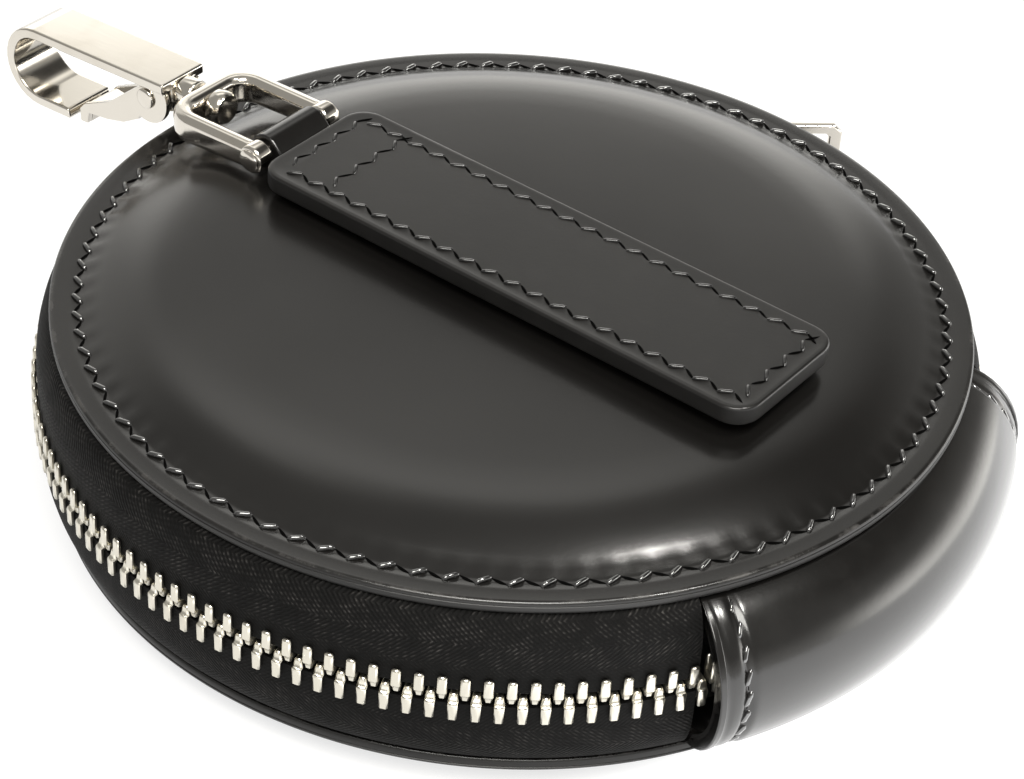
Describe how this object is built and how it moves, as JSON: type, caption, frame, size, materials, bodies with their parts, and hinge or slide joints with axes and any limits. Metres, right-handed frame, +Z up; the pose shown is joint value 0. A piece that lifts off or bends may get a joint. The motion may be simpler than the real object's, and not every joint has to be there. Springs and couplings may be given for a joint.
{
  "type": "coin purse",
  "caption": "Round zip-around coin purse in polished black leather, with a leather gusset, a stitched strap and a swivel snap hook on a stirrup.",
  "frame": {"origin": "centre of the flat resting face under the bottom panel, on the case's round axis", "axes": "+Z up through the two round panels; +X along the strap, towards the leather gusset, with the snap hook at -X; +Y completes a right-handed frame"},
  "size_m": [0.1313, 0.116, 0.0336],
  "materials": {
    "panel_leather": "polished brushed calf leather, glossy black with painted edges",
    "strap_lining": "smooth black lining leather, semi-gloss",
    "lining": "black twill lining cloth, matte",
    "foam": "grey padding, matte",
    "zip_tape": "black woven herringbone zip tape, matte",
    "nickel": "polished warm nickel plate",
    "spring_steel": "drawn spring wire"
  },
  "bodies": {
    "base": {"bottom_panel": "panel_leather", "bottom_filler": "foam", "bottom_lining": "lining", "gusset_leather": "panel_leather", "gusset_lining": "lining", "zip_tape_lower": "zip_tape", "zip_teeth_lower": "nickel", "zip_top_stop_lower": "nickel", "zip_bottom_stop": "nickel"},
    "lid": {"top_panel": "panel_leather", "top_filler": "foam", "top_lining": "lining", "zip_tape_upper": "zip_tape", "zip_teeth_upper": "nickel", "zip_top_stop_upper": "nickel", "strap_anchor_outer": "panel_leather", "strap_anchor_lining": "strap_lining", "hook_loop": "panel_leather", "stud_post": "nickel"},
    "slider": {"slider_body": "nickel"},
    "pull": {"zip_pull": "nickel"},
    "strap_flap": {"strap_flap_outer": "panel_leather", "strap_flap_lining": "strap_lining", "stud_socket": "nickel"},
    "stirrup_body": {"stirrup": "nickel", "stirrup_pin": "nickel"},
    "hook": {"swivel_post": "nickel", "hook_body": "nickel", "trigger_rivet": "nickel", "trigger_spring": "spring_steel"},
    "trigger_lever": {"trigger": "nickel"}
  },
  "joints": [
    {"name": "lid_open", "type": "hinge", "parent": "base", "child": "lid", "pos_m": [0.0456, 0, 0.0147], "axis": [0, 1, 0], "range_deg": [0, 70], "deforming": ["gusset_leather", "gusset_lining", "zip_teeth_upper", "zip_teeth_lower"]},
    {"name": "slider_travel", "type": "hinge", "parent": "base", "child": "slider", "pos_m": [0, 0, 0.0147], "axis": [0, 0, 1], "range_deg": [0, 214]},
    {"name": "pull_swing", "type": "hinge", "parent": "slider", "child": "pull", "pos_m": [-0.0067, 0.05459, 0.0147], "axis": [0, 0, 1], "range_deg": [-30, 138]},
    {"name": "strap_lift", "type": "hinge", "parent": "lid", "child": "strap_flap", "pos_m": [-0.0215, 0, 0.033], "axis": [0, -1, 0], "range_deg": [0, 75]},
    {"name": "stirrup_swing", "type": "hinge", "parent": "lid", "child": "stirrup_body", "pos_m": [-0.0326, 0, 0.0316], "axis": [0, 1, 0], "range_deg": [0, 100]},
    {"name": "hook_swivel", "type": "hinge", "parent": "stirrup_body", "child": "hook", "pos_m": [-0.04558, 0, 0.03081], "axis": [-0.9981, 0, -0.061], "continuous": true},
    {"name": "trigger_press", "type": "hinge", "parent": "hook", "child": "trigger_lever", "pos_m": [-0.05212, 0, 0.0296], "axis": [0, 1, 0], "range_deg": [0, 22], "stiffness_Nm_per_rad": 0.004, "springref_deg": -28.65}
  ],
  "couplings": [
    {"joint": "slider_travel", "follows": "lid_open", "ratio": 3.0571}
  ]
}
